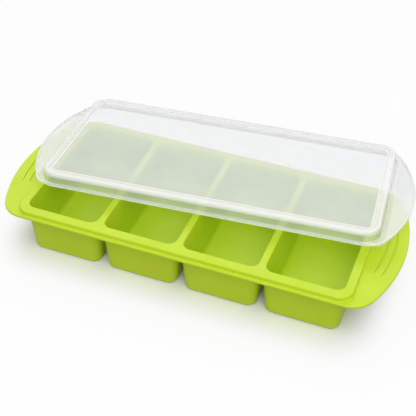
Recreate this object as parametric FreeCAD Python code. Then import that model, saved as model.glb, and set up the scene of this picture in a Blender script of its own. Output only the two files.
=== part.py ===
import FreeCAD, Part
import math
import os
from FreeCAD import Placement, Rotation, Vector

# Baby food freezer tray: a soft tray with a row of deep cells, and a thin plastic lid lying askew on it.
# Millimetres. +X runs along the row of cells, +Y points away from the viewer, +Z is up.
# The origin is on the surface the tray stands on, under the middle of the row.

# Cells
cell_count = 4
cell_pitch = 56.5
cell_opening_depth = 100.0
divider_width = 4.9
opening_corner_radius = 6.0
cell_floor_corner_radius = 3.8
cell_wall = 2.3
cell_floor = 2.6
cell_draft = 4.5
cell_floor_fillet = 3.2
cell_foot_fillet = 2.2

# Rim, flange and handles
tray_height = 38.0
end_rim_width = 6.0
side_rim_width = 6.8
rim_corner_radius = 10.0
rim_rise = 3.5
rim_edge_round = 1.0
opening_edge_round = 0.7
rim_foot_fillet = 0.4
flange_thickness = 2.0
flange_overhang = 1.6
flange_edge_round = 0.7
handle_reach = 22.75
handle_arc_radius = 117.0
handle_corner_radius = 18.0
cup_root_fillet = 0.5

# Grip grooves, measured inwards from the handle's tip
groove_insets = [7.8, 13.0]
groove_half_length = 25.0
groove_width = 1.5
groove_depth = 0.9

# Lid
lid_wall = 0.9
lid_clearance = 0.4
lid_height = 9.5
lid_draft = 7.5
lid_crown_corner_radius = 12.5
lid_edge_round = 1.8
lid_inner_round = 1.0
lid_border_width = 5.2
lid_panel_drop = 0.8
lid_panel_corner_radius = 4.0
lid_panel_edge_round = 0.35
lid_bead = 0.6
lid_lip_height = 1.9
lid_wing_thickness = 1.0
lid_wing_reach = 18.15
lid_wing_arc_radius = 106.0
lid_wing_corner_radius = 10.4
lid_wing_edge_round = 0.35
lid_wing_root_fillet = 0.7
lid_rib_width = 1.5
lid_rib_height = 0.6
lid_rib_round = 0.25

# How the lid lies on the tray: pushed back, turned a little and resting on three points
lid_shift_back = 36.5
lid_turn = 5.4
rim_touch_angle = 53.0
seat_gap = 0.2

# How closely an edge's height or place is matched when edges are picked for rounding
level_tolerance = 0.001
pick_margin = 0.01

# How far a cutting block stands out above the surface that it cuts
cut_headroom = 1.0

# Sizes worked out from the ones above
opening_half_width = (cell_pitch - divider_width) / 2
opening_half_depth = cell_opening_depth / 2
rim_half_length = cell_count * cell_pitch / 2 - divider_width / 2 + end_rim_width
rim_half_depth = opening_half_depth + side_rim_width
rim_top = tray_height
flange_top = rim_top - rim_rise
flange_bottom = flange_top - flange_thickness
flange_half_depth = rim_half_depth + flange_overhang
handle_tip = rim_half_length + handle_reach
cell_slope = math.tan(math.radians(cell_draft))
lid_slope = math.tan(math.radians(lid_draft))
lid_foot_half_length = rim_half_length + lid_clearance
lid_foot_half_depth = rim_half_depth + lid_clearance
lid_foot_corner_radius = rim_corner_radius + lid_clearance
lid_tip = rim_half_length + lid_wing_reach
lid_lip_half_depth = lid_foot_half_depth + lid_wall + lid_bead
up = Vector(0, 0, 1)


def rounded_rectangle(half_length, half_depth, radius, z):
    """A closed wire with four straight sides and four quarter-circle corners."""
    edges = []
    corner_x = half_length - radius
    corner_y = half_depth - radius
    diagonal = radius * math.sqrt(0.5)
    for sign_x, sign_y in ((1, -1), (1, 1), (-1, 1), (-1, -1)):
        centre = Vector(sign_x * corner_x, sign_y * corner_y, z)
        on_side = centre + Vector(sign_x * radius, 0, 0)
        on_end = centre + Vector(0, sign_y * radius, 0)
        middle = centre + Vector(sign_x * diagonal, sign_y * diagonal, 0)
        edges.append(Part.Arc(on_side, middle, on_end).toShape())
    for sign in (1, -1):
        low = Vector(-corner_x, sign * half_depth, z)
        high = Vector(corner_x, sign * half_depth, z)
        edges.append(Part.LineSegment(low, high).toShape())
        near = Vector(sign * half_length, -corner_y, z)
        far = Vector(sign * half_length, corner_y, z)
        edges.append(Part.LineSegment(near, far).toShape())
    return Part.Wire(Part.__sortEdges__(edges))


def corner_centre(tip, arc_radius, corner_radius, half_depth):
    """The centre of the arc that joins a long side to the end's wide arc, at the right and the back."""
    corner_y = half_depth - corner_radius
    corner_x = tip - arc_radius + math.sqrt((arc_radius - corner_radius) ** 2 - corner_y ** 2)
    return corner_x, corner_y


def winged_outline(tip, arc_radius, corner_radius, half_depth, z):
    """Two straight long sides whose ends swell into a wide arc, joined by smaller corner arcs."""
    arc_centre = tip - arc_radius
    corner_x, corner_y = corner_centre(tip, arc_radius, corner_radius, half_depth)
    reach = arc_radius / (arc_radius - corner_radius)
    join_x = arc_centre + (corner_x - arc_centre) * reach
    join_y = corner_y * reach
    half_turn = (math.pi / 2 + math.atan2(corner_y, corner_x - arc_centre)) / 2
    middle_x = corner_x + corner_radius * math.cos(half_turn)
    middle_y = corner_y + corner_radius * math.sin(half_turn)
    edges = []
    for side in (1, -1):
        near_join = Vector(side * join_x, -join_y, z)
        far_join = Vector(side * join_x, join_y, z)
        edges.append(Part.Arc(near_join, Vector(side * tip, 0, z), far_join).toShape())
        for sign in (1, -1):
            join = Vector(side * join_x, sign * join_y, z)
            middle = Vector(side * middle_x, sign * middle_y, z)
            straight_end = Vector(side * corner_x, sign * half_depth, z)
            edges.append(Part.Arc(join, middle, straight_end).toShape())
    for sign in (1, -1):
        left = Vector(-corner_x, sign * half_depth, z)
        right = Vector(corner_x, sign * half_depth, z)
        edges.append(Part.LineSegment(left, right).toShape())
    return Part.Wire(Part.__sortEdges__(edges))


def plate(outline, thickness):
    return Part.Face(outline).extrude(up * thickness)


def drafted_block(low_wire, high_wire):
    return Part.makeLoft([low_wire, high_wire], True, True)


def level_edges(shape, z, keep=None):
    """The edges that lie wholly at height z, or those of them that keep(box) accepts."""
    chosen = []
    for edge in shape.Edges:
        box = edge.BoundBox
        if abs(box.ZMin - z) < level_tolerance and abs(box.ZMax - z) < level_tolerance:
            if keep is None or keep(box):
                chosen.append(edge)
    return chosen


def inside_rectangle(half_length, half_depth):
    def keep(box):
        widest = max(abs(box.XMin), abs(box.XMax))
        deepest = max(abs(box.YMin), abs(box.YMax))
        return widest < half_length and deepest < half_depth
    return keep


def cell_centres():
    first = -(cell_count - 1) * cell_pitch / 2
    return [first + index * cell_pitch for index in range(cell_count)]


def cup_outside():
    """One cup's drafted outer shape, from the standing surface up into the rim."""
    top = flange_bottom + flange_thickness / 2
    top_offset = cell_wall - (rim_top - top) * cell_slope
    foot_offset = cell_wall - rim_top * cell_slope
    foot_radius = cell_floor_corner_radius + cell_wall
    top_radius = opening_corner_radius + cell_wall
    foot = rounded_rectangle(
        opening_half_width + foot_offset, opening_half_depth + foot_offset, foot_radius, 0)
    mouth = rounded_rectangle(
        opening_half_width + top_offset, opening_half_depth + top_offset, top_radius, top)
    cup = drafted_block(foot, mouth)
    return cup.makeFillet(cell_foot_fillet, level_edges(cup, 0))


def cup_hollow():
    """The space inside one cup, from its floor to the rim's top."""
    floor_offset = -(rim_top - cell_floor) * cell_slope
    floor = rounded_rectangle(
        opening_half_width + floor_offset, opening_half_depth + floor_offset,
        cell_floor_corner_radius, cell_floor)
    mouth = rounded_rectangle(
        opening_half_width, opening_half_depth, opening_corner_radius, rim_top)
    hollow = drafted_block(floor, mouth)
    return hollow.makeFillet(cell_floor_fillet, level_edges(hollow, cell_floor))


def grip_groove(inset):
    """A shallow crescent that follows the handle's edge and fades out at both ends."""
    radius = handle_arc_radius - inset
    arc_centre = handle_tip - handle_arc_radius
    end_x = arc_centre + math.sqrt(radius ** 2 - groove_half_length ** 2)
    bottom = flange_top - groove_depth
    low = Vector(end_x, -groove_half_length, bottom)
    high = Vector(end_x, groove_half_length, bottom)
    outer = Vector(arc_centre + radius + groove_width / 2, 0, bottom)
    inner = Vector(arc_centre + radius - groove_width / 2, 0, bottom)
    sides = [Part.Arc(low, outer, high).toShape(), Part.Arc(high, inner, low).toShape()]
    return plate(Part.Wire(sides), rim_rise)


def make_tray():
    rim = plate(rounded_rectangle(rim_half_length, rim_half_depth, rim_corner_radius, flange_bottom),
                rim_top - flange_bottom)
    rim = rim.makeFillet(rim_edge_round, level_edges(rim, rim_top))
    flange = plate(winged_outline(handle_tip, handle_arc_radius, handle_corner_radius,
                                  flange_half_depth, flange_bottom), flange_thickness)
    flange_edges = level_edges(flange, flange_top) + level_edges(flange, flange_bottom)
    flange = flange.makeFillet(flange_edge_round, flange_edges)
    for inset in groove_insets:
        right = grip_groove(inset)
        flange = flange.cut(right)
        flange = flange.cut(right.mirror(Vector(0, 0, 0), Vector(1, 0, 0)))
    body = rim.fuse(flange).removeSplitter()
    on_rim = inside_rectangle(rim_half_length + pick_margin, rim_half_depth + pick_margin)
    body = body.makeFillet(rim_foot_fillet, level_edges(body, flange_top, on_rim))
    outside = cup_outside()
    hollow = cup_hollow()
    cups = [outside.translated(Vector(x, 0, 0)) for x in cell_centres()]
    body = body.fuse(cups).removeSplitter()
    under_rim = inside_rectangle(rim_half_length - end_rim_width / 2, rim_half_depth - side_rim_width / 2)
    body = body.makeFillet(cup_root_fillet, level_edges(body, flange_bottom, under_rim))
    body = body.cut([hollow.translated(Vector(x, 0, 0)) for x in cell_centres()])
    mouths = inside_rectangle(rim_half_length - end_rim_width + pick_margin, opening_half_depth + pick_margin)
    return body.makeFillet(opening_edge_round, level_edges(body, rim_top, mouths))


def dome(offset, top, round_radius):
    """The lid's drafted dome, offset outwards from the skirt's inner face at its foot."""
    shrink = top * lid_slope
    foot = rounded_rectangle(lid_foot_half_length + offset, lid_foot_half_depth + offset,
                             lid_foot_corner_radius + offset, 0)
    crown = rounded_rectangle(lid_foot_half_length + offset - shrink, lid_foot_half_depth + offset - shrink,
                              lid_crown_corner_radius + offset - shrink, top)
    block = drafted_block(foot, crown)
    return block.makeFillet(round_radius, level_edges(block, top))


def panel(offset, low, high):
    """A block over the lid's sunk middle panel, offset outwards from the panel's edge."""
    inset = lid_wall - lid_height * lid_slope - lid_border_width
    outline = rounded_rectangle(lid_foot_half_length + inset + offset, lid_foot_half_depth + inset + offset,
                                lid_panel_corner_radius + offset, low)
    return plate(outline, high - low)


def edge_rib():
    """A raised rib that runs round the lip's edge, out along the wings too."""
    low = lid_lip_height - lid_wing_thickness
    height = lid_wing_thickness + lid_rib_height
    outer = plate(winged_outline(lid_tip, lid_wing_arc_radius, lid_wing_corner_radius,
                                 lid_lip_half_depth, low), height)
    inner = plate(winged_outline(lid_tip - lid_rib_width, lid_wing_arc_radius - lid_rib_width,
                                 lid_wing_corner_radius - lid_rib_width,
                                 lid_lip_half_depth - lid_rib_width, low), height)
    rib = outer.cut(inner)
    return rib.makeFillet(lid_rib_round, level_edges(rib, low + height))


def make_lid():
    """The lid as it would lie shut on a tray, with its skirt's foot at height 0."""
    panel_top = lid_height - lid_panel_drop
    ceiling = lid_height - lid_wall
    above = lid_height + cut_headroom
    shell = dome(lid_wall, lid_height, lid_edge_round)
    shell = shell.cut(panel(0, panel_top, above)).removeSplitter()
    panel_edges = level_edges(shell, panel_top) + level_edges(
        shell, lid_height, inside_rectangle(lid_foot_half_length - lid_border_width,
                                            lid_foot_half_depth - lid_border_width))
    shell = shell.makeFillet(lid_panel_edge_round, panel_edges)
    bead = plate(rounded_rectangle(lid_foot_half_length + lid_wall + lid_bead, lid_lip_half_depth,
                                   lid_foot_corner_radius + lid_wall + lid_bead, 0), lid_lip_height)
    wings = plate(winged_outline(lid_tip, lid_wing_arc_radius, lid_wing_corner_radius,
                                 lid_lip_half_depth, lid_lip_height - lid_wing_thickness),
                  lid_wing_thickness)
    lip = bead.fuse(wings).removeSplitter()
    lip = lip.makeFillet(lid_wing_edge_round, level_edges(lip, lid_lip_height))
    body = shell.fuse(lip).removeSplitter()
    root = inside_rectangle(lid_foot_half_length + lid_wall, lid_foot_half_depth + lid_wall)
    body = body.makeFillet(lid_wing_root_fillet, level_edges(body, lid_lip_height, root))
    body = body.fuse(edge_rib()).removeSplitter()
    hollow = dome(0, ceiling, lid_inner_round)
    hollow = hollow.cut(panel(lid_wall, ceiling - lid_panel_drop, above))
    return body.cut(hollow).removeSplitter()


def rests_on_rim(side):
    """Where the skirt's foot leans on the rounded top edge of one end of the rim, with the lid turned."""
    turn = math.radians(lid_turn)
    lean = math.radians(rim_touch_angle)
    rim_x = side * (rim_half_length - rim_edge_round * (1 - math.sin(lean)))
    foot_x = side * lid_foot_half_length
    along = (foot_x * math.cos(turn) - rim_x) / math.sin(turn)
    y = lid_shift_back + foot_x * math.sin(turn) + along * math.cos(turn)
    return Vector(rim_x, y, rim_top - rim_edge_round * (1 - math.cos(lean)))


def rests_on_flange():
    """Where the left skirt's foot crosses the flange's rounded corner behind the left handle."""
    turn = math.radians(lid_turn)
    corner_x, corner_y = corner_centre(handle_tip, handle_arc_radius, handle_corner_radius, flange_half_depth)
    start = Vector(-lid_foot_half_length * math.cos(turn),
                   lid_shift_back - lid_foot_half_length * math.sin(turn), 0)
    ahead = Vector(-math.sin(turn), math.cos(turn), 0)
    from_corner = start - Vector(-corner_x, corner_y, 0)
    radius = handle_corner_radius - flange_edge_round / 2
    middle = from_corner.dot(ahead)
    along = math.sqrt(middle ** 2 - from_corner.dot(from_corner) + radius ** 2) - middle
    return start + ahead * along + up * flange_top


def lid_placement():
    """Turns and tips the lid so that its foot lies in the plane through its three resting points."""
    right = rests_on_rim(1)
    left = rests_on_rim(-1)
    back = rests_on_flange()
    normal = (right - left).cross(back - left).normalize()
    if normal.z < 0:
        normal = normal * -1
    turn = math.radians(lid_turn)
    ahead = Vector(math.cos(turn), math.sin(turn), 0)
    along = (ahead - normal * ahead.dot(normal)).normalize()
    across = normal.cross(along)
    centre = Vector(0, lid_shift_back, 0)
    rise = normal.dot(right - centre) / normal.z
    centre.z = rise + seat_gap
    for point in (right, left, back):
        print("lid rests at", [round(value, 2) for value in point])
    print("lid tips back", round(math.degrees(math.asin(-across.z)), 2), "degrees and leans",
          round(math.degrees(math.asin(along.z)), 2), "centre height", round(centre.z, 2))
    return Placement(centre, Rotation(along, across, normal, "ZXY"))


os.makedirs("parts", exist_ok=True)
tray = make_tray()
lid = make_lid()
lid.Placement = lid_placement()
for name, shape in (("tray", tray), ("lid", lid)):
    print(name, "valid", shape.isValid(), "solids", len(shape.Solids), "volume", round(shape.Volume, 1))
    shape.exportStep("parts/" + name + ".step")
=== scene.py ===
# A baby food freezer tray: soft green silicone with a row of deep cells, and a loose frosted lid
# that lies askew on it. Metres: +X along the row, +Y away from the viewer, +Z up, floor at 0.
import bmesh
import bpy
import math
import numpy as np
from mathutils import Matrix, Vector


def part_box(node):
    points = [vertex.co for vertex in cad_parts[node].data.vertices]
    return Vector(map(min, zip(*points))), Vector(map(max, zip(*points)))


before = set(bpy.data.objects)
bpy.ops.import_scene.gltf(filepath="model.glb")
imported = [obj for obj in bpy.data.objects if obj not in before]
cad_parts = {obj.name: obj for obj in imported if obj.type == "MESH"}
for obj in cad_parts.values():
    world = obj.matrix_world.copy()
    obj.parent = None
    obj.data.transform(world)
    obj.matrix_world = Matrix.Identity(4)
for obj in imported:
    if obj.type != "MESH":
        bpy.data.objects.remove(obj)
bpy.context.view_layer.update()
scene = bpy.context.scene
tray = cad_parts["tray"]
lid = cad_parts["lid"]
print("loaded the tray and the lid")


# Node helpers

noiseMiddle = (0.3, 0.7)    # the part of a noise texture's range that nearly all of it lies in


def newMaterial(name):
    material = bpy.data.materials.new(name)
    material.use_nodes = True
    material.node_tree.nodes.clear()
    return material, material.node_tree


def setSocket(tree, socket, value):
    if isinstance(value, bpy.types.NodeSocket):
        tree.links.new(value, socket)
    else:
        socket.default_value = value


def addNode(tree, kind, settings=None, **inputs):
    node = tree.nodes.new(kind)
    for key, value in (settings or {}).items():
        setattr(node, key, value)
    for key, value in inputs.items():
        setSocket(tree, node.inputs[key.replace("_", " ")], value)
    return node


def calculate(tree, operation, *values):
    node = addNode(tree, "ShaderNodeMath", {"operation": operation})
    for socket, value in zip(node.inputs, values):
        setSocket(tree, socket, value)
    return node.outputs[0]


# The largest of several values; used to join masks
def largest(tree, first, *others):
    for other in others:
        first = calculate(tree, "MAXIMUM", first, other)
    return first


def remap(tree, value, fromLow, fromHigh, toLow, toHigh, smooth=False):
    settings = {"interpolation_type": "SMOOTHSTEP"} if smooth else {}
    node = addNode(tree, "ShaderNodeMapRange", settings, Value=value, From_Min=fromLow,
                   From_Max=fromHigh, To_Min=toLow, To_Max=toHigh)
    return node.outputs["Result"]


def noise(tree, place, scale, detail, roughness=0.5):
    node = addNode(tree, "ShaderNodeTexNoise", Vector=place, Scale=scale, Detail=detail,
                   Roughness=roughness)
    return node.outputs["Fac"]


# A noise texture stretched so that it drifts from one value to the other
def drift(tree, texture, low, high):
    return remap(tree, texture, *noiseMiddle, low, high)


def bump(tree, height, depth, **below):
    node = addNode(tree, "ShaderNodeBump", Height=height, Distance=depth, Strength=1.0, **below)
    return node.outputs["Normal"]


def mix(tree, kind, share, first, second):
    node = addNode(tree, "ShaderNodeMix", {"data_type": kind})
    used = [socket for socket in node.inputs if socket.enabled]
    for socket, value in zip(used, (share, first, second)):
        setSocket(tree, socket, value)
    return next(socket for socket in node.outputs if socket.enabled)


def mixNumbers(tree, share, first, second):
    return mix(tree, "FLOAT", share, first, second)


def mixColours(tree, share, first, second):
    return mix(tree, "RGBA", share, (*first, 1), (*second, 1))


def mixShaders(tree, share, first, second):
    node = addNode(tree, "ShaderNodeMixShader")
    for socket, value in zip(node.inputs, (share, first.outputs[0], second.outputs[0])):
        setSocket(tree, socket, value)
    return node


# 1 for what the eye sees, straight or in a reflection, and 0 for light on its way to the object
def seenByEye(tree):
    path = addNode(tree, "ShaderNodeLightPath").outputs
    return largest(tree, path["Is Camera Ray"], path["Is Glossy Ray"], path["Is Transmission Ray"])


def paint(node, material):
    for slot in node.material_slots:
        slot.material = material


# The tray's silicone: a deep lime green with a satin skin

silicone = {
    "colour": (0.575, 0.755, 0.018),
    "lightColour": (0.605, 0.79, 0.027),
    "cloudScale": 38.0,             # soft drifts of colour, about 25 mm apart
    "roughness": (0.42, 0.56),
    "specular": 0.38,
    "smearScale": 90.0,
    "grainScale": 2600.0,           # the mould's fine matte texture
    "grainDepth": 0.00002,
    "waveScale": 24.0,              # the slow unevenness of a soft moulding
    "waveDepth": 0.00035,
    "glow": 0.05,                   # light that soaks into the rubber
    "glowReach": 0.003,
    "glowTint": (1.0, 1.0, 0.2),    # how far its red, green and blue go, as a share of that reach
}


def makeSilicone(values):
    material, tree = newMaterial("silicone")
    place = addNode(tree, "ShaderNodeTexCoord").outputs["Object"]
    clouds = drift(tree, noise(tree, place, values["cloudScale"], detail=4), 0, 1)
    smears = noise(tree, place, values["smearScale"], detail=5, roughness=0.6)
    waves = bump(tree, noise(tree, place, values["waveScale"], detail=1), values["waveDepth"])
    grain = noise(tree, place, values["grainScale"], detail=2)
    shader = addNode(
        tree, "ShaderNodeBsdfPrincipled",
        Base_Color=mixColours(tree, clouds, values["colour"], values["lightColour"]),
        Roughness=drift(tree, smears, *values["roughness"]),
        Normal=bump(tree, grain, values["grainDepth"], Normal=waves),
        Specular_IOR_Level=values["specular"],
        Subsurface_Weight=values["glow"],
        Subsurface_Scale=values["glowReach"],
        Subsurface_Radius=values["glowTint"])
    addNode(tree, "ShaderNodeOutputMaterial", Surface=shader.outputs["BSDF"])
    return material


paint(tray, makeSilicone(silicone))
print("silicone painted")


# The lid's frosted plastic: milky and see-through, with a painted highlight: whiter along its edges and
# round its sunk panel, standing in for light gathering in the thicker plastic there

lidPlastic = {
    "colour": (0.89, 0.905, 0.93),
    # painted highlight: the whiter colour that the bright lines and the border take, standing in for
    # light gathering in the sheet's edges
    "highlightColour": (0.975, 0.98, 0.98),
    "milk": 0.42,                   # how much each face of the sheet hides what lies behind it
    "wallMilk": 0.20,
    "borderMilk": 0.50,             # round the sunk panel
    "lipMilk": 0.42,
    "wingMilk": 0.62,
    "lineMilk": 0.70,               # along the panel's outline, the crown's edge, the rib and the foot: denser where the plastic is thicker, and denser still as painted highlight
    "haze": 0.015,                  # how far the milk drifts
    "hazeScale": 45.0,
    "shade": (0.25, 2.2, 0.35),     # how much of the milk holds light back from what lies below it:
    "shadeRise": (0.012, 0.028),    # close to the lid, deep in a cell and far off, and the depths
    "shadeFall": (0.042, 0.053),    # over which one passes into the next
    "glow": (0.25, 0.65),           # light that soaks through the sheet, in the top and in the walls
    "glowReach": 0.002,
    "glowTint": (1.0, 1.0, 1.0),
    "roughness": (0.30, 0.42),
    "specular": 0.4,
    "smearScale": 110.0,
    "frostScale": 1200.0,
    "frostDepth": 0.00001,
    "waveScale": 22.0,
    "waveDepth": 0.00015,
    "topFade": (-0.0025, -0.0015),  # the lid's own sizes, with heights taken from its sunk panel's top
    "panelCorner": 0.004,
    "borderWidth": 0.0052,
    "borderFade": 0.0005,
    "crownCorner": 0.0125,
    "crownRound": 0.0018,
    "lineHalfWidth": 0.0012,
    "lipTop": -0.0066,
    "ribRise": 0.0006,
    "ribHalfWidth": 0.0003,
    "ribStart": (0.0018, 0.0022),   # outwards from the crown's outline
    "footTop": -0.0082,
    "stepFade": 0.0004,
    "wingStart": 0.1195,
    "wingFade": 0.002,
}

panelSearch = {
    "facingUp": 0.5,                # how much of a face's normal points up before it may be the panel's
    "sameWay": 0.9999,
    "sameHeight": 0.0001,
}


# Gives the middle of the lid's sunk panel, the lid's own axes as a rotation and the panel's half sizes
def lidAxes(node, values):
    mesh = node.data
    mesh.calc_loop_triangles()
    points = np.array([vertex.co for vertex in mesh.vertices])
    corners = points[np.array([face.vertices for face in mesh.loop_triangles])]
    normals = np.array([face.normal for face in mesh.loop_triangles])
    areas = np.array([face.area for face in mesh.loop_triangles])
    widest = np.argmax(areas * (normals[:, 2] > values["facingUp"]))
    up = normals[widest]
    heights = corners.mean(1) @ up
    level = abs(heights - heights[widest]) < values["sameHeight"]
    onPanel = (normals @ up > values["sameWay"]) & level
    corners = corners[onPanel]
    areas = areas[onPanel]
    middle = (corners.mean(1) * areas[:, None]).sum(0) / areas.sum()
    arms = corners - middle
    sums = arms.sum(1)
    squares = np.einsum("nij,nik->njk", arms, arms) + sums[:, :, None] * sums[:, None, :]
    along = np.linalg.eigh((squares * areas[:, None, None]).sum(0))[1][:, -1]
    along = along * np.sign(along[0])
    across = np.cross(up, along)
    halfLength = abs(arms @ along).max()
    halfDepth = abs(arms @ across).max()
    return Vector(middle), Matrix((along, across, up)).transposed(), halfLength, halfDepth


# How far a point lies outside a rounded rectangle; negative inside it
def outlineDistance(tree, x, y, halfLength, halfDepth, radius):
    pastX = calculate(tree, "SUBTRACT", calculate(tree, "ABSOLUTE", x), halfLength - radius)
    pastY = calculate(tree, "SUBTRACT", calculate(tree, "ABSOLUTE", y), halfDepth - radius)
    squareX = calculate(tree, "POWER", largest(tree, pastX, 0.0), 2.0)
    squareY = calculate(tree, "POWER", largest(tree, pastY, 0.0), 2.0)
    outside = calculate(tree, "SQRT", calculate(tree, "ADD", squareX, squareY))
    inside = calculate(tree, "MINIMUM", largest(tree, pastX, pastY), 0.0)
    return calculate(tree, "SUBTRACT", calculate(tree, "ADD", outside, inside), radius)


# A soft line: 1 where the value is near its middle, fading out over the line's half width
def stripe(tree, value, middle, halfWidth):
    away = calculate(tree, "ABSOLUTE", calculate(tree, "SUBTRACT", value, middle))
    return remap(tree, away, halfWidth / 2, halfWidth * 3 / 2, 1, 0, smooth=True)


# Where the lid's top, border, lip, wings and bright lines are, each from 0 to 1; the bright lines and the
# border carry the painted highlight
def lidMasks(tree, node, place, values):
    middle, axes, halfLength, halfDepth = lidAxes(node, panelSearch)
    own = addNode(tree, "ShaderNodeMapping", {"vector_type": "TEXTURE"}, Vector=place,
                  Location=middle, Rotation=axes.to_euler())
    x, y, z = addNode(tree, "ShaderNodeSeparateXYZ", Vector=own.outputs[0]).outputs
    border, width, step = values["borderWidth"], values["lineHalfWidth"], values["stepFade"]
    footTop, lipTop, wingStart = values["footTop"], values["lipTop"], values["wingStart"]
    top = remap(tree, z, *values["topFade"], 0, 1)
    fromPanel = outlineDistance(tree, x, y, halfLength, halfDepth, values["panelCorner"])
    fromCrown = outlineDistance(tree, x, y, halfLength + border, halfDepth + border,
                                values["crownCorner"])
    panelLine = stripe(tree, fromPanel, 0.0, width)
    crownLine = stripe(tree, fromCrown, -values["crownRound"] / 2, width)
    topLines = calculate(tree, "MULTIPLY", largest(tree, panelLine, crownLine), top)
    foot = remap(tree, z, footTop, footTop + step, 1, 0)
    rib = calculate(tree, "MULTIPLY",
                    stripe(tree, z, lipTop + values["ribRise"], values["ribHalfWidth"]),
                    remap(tree, fromCrown, *values["ribStart"], 0, 1))
    offMiddle = calculate(tree, "ABSOLUTE", x)
    beyondPanel = remap(tree, fromPanel, 0, values["borderFade"], 0, 1)
    return {
        "top": top,
        "border": calculate(tree, "MULTIPLY", beyondPanel, top),
        "lip": remap(tree, z, lipTop, lipTop + step, 1, 0),
        "wing": remap(tree, offMiddle, wingStart, wingStart + values["wingFade"], 0, 1),
        "line": largest(tree, topLines, foot, rib),
    }


# How much the sheet hides at each place
def lidMilk(tree, place, masks, values):
    clouds = noise(tree, place, values["hazeScale"], detail=4)
    milk = drift(tree, clouds, values["milk"] - values["haze"], values["milk"] + values["haze"])
    milk = mixNumbers(tree, masks["top"], values["wallMilk"], milk)
    for name in ("border", "lip", "wing", "line"):
        milk = mixNumbers(tree, masks[name], milk, values[name + "Milk"])
    return milk


# The share of that milk which counts: all of it for the eye, and for the light that falls on what lies
# below the lid, more or less of it with how far below that is
def lidShade(tree, values):
    path = addNode(tree, "ShaderNodeLightPath").outputs
    close, deep, far = values["shade"]
    rise = remap(tree, path["Ray Length"], *values["shadeRise"], close, deep)
    fall = remap(tree, path["Ray Length"], *values["shadeFall"], deep, far)
    lighting = largest(tree, path["Is Shadow Ray"], path["Is Diffuse Ray"])
    return mixNumbers(tree, lighting, 1.0, calculate(tree, "MINIMUM", rise, fall))


def makeLidPlastic(node, values):
    material, tree = newMaterial("lidPlastic")
    place = addNode(tree, "ShaderNodeTexCoord").outputs["Object"]
    masks = lidMasks(tree, node, place, values)
    # painted highlight: the bright lines and the border are painted in the whiter colour
    paintedHighlight = largest(tree, masks["line"], masks["border"])
    milk = lidMilk(tree, place, masks, values)
    smears = noise(tree, place, values["smearScale"], detail=4, roughness=0.6)
    waves = bump(tree, noise(tree, place, values["waveScale"], detail=1), values["waveDepth"])
    frost = noise(tree, place, values["frostScale"], detail=2)
    topGlow, wallGlow = values["glow"]
    shader = addNode(
        tree, "ShaderNodeBsdfPrincipled",
        Base_Color=mixColours(tree, paintedHighlight, values["colour"], values["highlightColour"]),
        Roughness=drift(tree, smears, *values["roughness"]),
        Alpha=calculate(tree, "MULTIPLY", milk, lidShade(tree, values)),
        Normal=bump(tree, frost, values["frostDepth"], Normal=waves),
        Specular_IOR_Level=values["specular"],
        Subsurface_Weight=mixNumbers(tree, masks["top"], wallGlow, topGlow),
        Subsurface_Scale=values["glowReach"],
        Subsurface_Radius=values["glowTint"])
    addNode(tree, "ShaderNodeOutputMaterial", Surface=shader.outputs["BSDF"])
    return material


paint(lid, makeLidPlastic(lid, lidPlastic))
print("lid painted")


# The studio: a white floor, a white world and three large soft lamps

studio = {
    "floorHalfSize": 4.0,
    "floorColour": (0.97, 0.97, 0.97),
    "floorBounce": (0.18, 0.18, 0.18),   # what the floor throws back onto the object
    "floorWash": (0.0, 0.85, 1.0),       # how far it's washed out to white: under the tray, near, far off
    "washEnds": (0.03, 0.60),            # how far from the tray the near and the far wash are reached
    "footShare": (0.80, 0.85),           # the part of the tray's length and depth that its feet cover
    "footCorner": 0.01,
    "worldColour": (1.0, 1.0, 1.0),
    "worldStrength": 0.48,
    "aim": (0, 0, 0.02),
    "lamps": (   # name, place, side lengths, watts
        ("above", (-0.45, 1.25, 1.20), (1.3, 0.7), 7.0),
        ("front", (0.35, -0.80, 1.25), (1.3, 1.3), 11.0),
        ("low", (0.35, -1.50, 0.42), (1.4, 0.6), 3.6),
    ),
}


def makeFloorPaper(values):
    material, tree = newMaterial("floorPaper")
    place = addNode(tree, "ShaderNodeTexCoord").outputs["Object"]
    spot = addNode(tree, "ShaderNodeSeparateXYZ", Vector=place).outputs
    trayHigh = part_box("tray")[1]
    lengthShare, depthShare = values["footShare"]
    fromTray = outlineDistance(tree, spot["X"], spot["Y"], trayHigh[0] * lengthShare,
                               trayHigh[1] * depthShare, values["footCorner"])
    under, near, far = values["floorWash"]
    nearEnd, farEnd = values["washEnds"]
    wash = largest(tree, remap(tree, fromTray, 0, nearEnd, under, near, smooth=True),
                   remap(tree, fromTray, nearEnd, farEnd, 0, far, smooth=True))
    paper = addNode(tree, "ShaderNodeBsdfDiffuse", Color=(*values["floorColour"], 1))
    white = addNode(tree, "ShaderNodeEmission", Strength=1.0)
    bounce = addNode(tree, "ShaderNodeBsdfDiffuse", Color=(*values["floorBounce"], 1))
    seen = mixShaders(tree, wash, paper, white)
    surface = mixShaders(tree, seenByEye(tree), bounce, seen)
    addNode(tree, "ShaderNodeOutputMaterial", Surface=surface.outputs[0])
    return material


def addFloor(values):
    grid = bmesh.new()
    bmesh.ops.create_grid(grid, x_segments=1, y_segments=1, size=values["floorHalfSize"])
    mesh = bpy.data.meshes.new("floor")
    grid.to_mesh(mesh)
    grid.free()
    mesh.materials.append(makeFloorPaper(values))
    floor = bpy.data.objects.new("floor", mesh)
    scene.collection.objects.link(floor)


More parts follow.
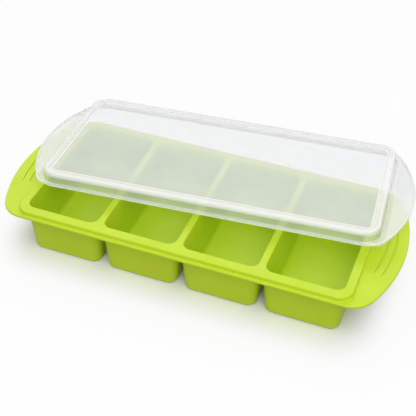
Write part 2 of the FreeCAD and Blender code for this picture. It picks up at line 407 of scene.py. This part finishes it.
def lightWorld(values):
    world = bpy.data.worlds.new("studio")
    world.use_nodes = True
    tree = world.node_tree
    tree.nodes.clear()
    colour = (*values["worldColour"], 1)
    soft = addNode(tree, "ShaderNodeBackground", Color=colour, Strength=values["worldStrength"])
    white = addNode(tree, "ShaderNodeBackground", Color=colour, Strength=1.0)
    surface = mixShaders(tree, seenByEye(tree), soft, white)
    addNode(tree, "ShaderNodeOutputWorld", Surface=surface.outputs[0])
    scene.world = world


def addLamp(name, place, sides, watts, aim):
    data = bpy.data.lights.new(name, "AREA")
    data.energy = watts
    data.shape = "RECTANGLE"
    data.size, data.size_y = sides
    lamp = bpy.data.objects.new(name, data)
    lamp.location = place
    lamp.rotation_euler = (Vector(aim) - Vector(place)).to_track_quat("-Z", "Y").to_euler()
    scene.collection.objects.link(lamp)


addFloor(studio)
lightWorld(studio)
for lampValues in studio["lamps"]:
    addLamp(*lampValues, studio["aim"])
scene.view_settings.view_transform = "Standard"
print("studio lit")


# The camera stands where the photograph was taken from

camera = {
    "azimuth": 20.563,              # degrees round from straight ahead
    "elevation": 40.343,            # degrees above the horizon
    "roll": 0.818,                  # degrees
    "target": (0.00477, -0.0073, 0.038),
    "distance": 0.62235,
    "lens": 79.54,                  # millimetres, as the sensor is
    "sensor": 36.0,
    "sees": (0.01, 20.0),           # the nearest and farthest distance
}


def addCamera(values):
    azimuth = math.radians(values["azimuth"])
    elevation = math.radians(values["elevation"])
    roll = math.radians(values["roll"])
    level = math.cos(elevation)
    back = Vector((math.sin(azimuth) * level, -math.cos(azimuth) * level, math.sin(elevation)))
    right = Vector((math.cos(azimuth), math.sin(azimuth), 0))
    up = back.cross(right)
    rolledRight = math.cos(roll) * right + math.sin(roll) * up
    rolledUp = math.cos(roll) * up - math.sin(roll) * right
    turn = Matrix((rolledRight, rolledUp, back)).transposed().to_4x4()
    place = Vector(values["target"]) + back * values["distance"]
    data = bpy.data.cameras.new("camera")
    data.lens = values["lens"]
    data.sensor_width = values["sensor"]
    data.clip_start, data.clip_end = values["sees"]
    viewer = bpy.data.objects.new("camera", data)
    viewer.matrix_world = Matrix.Translation(place) @ turn
    scene.collection.objects.link(viewer)
    scene.camera = viewer


addCamera(camera)
print("camera placed")
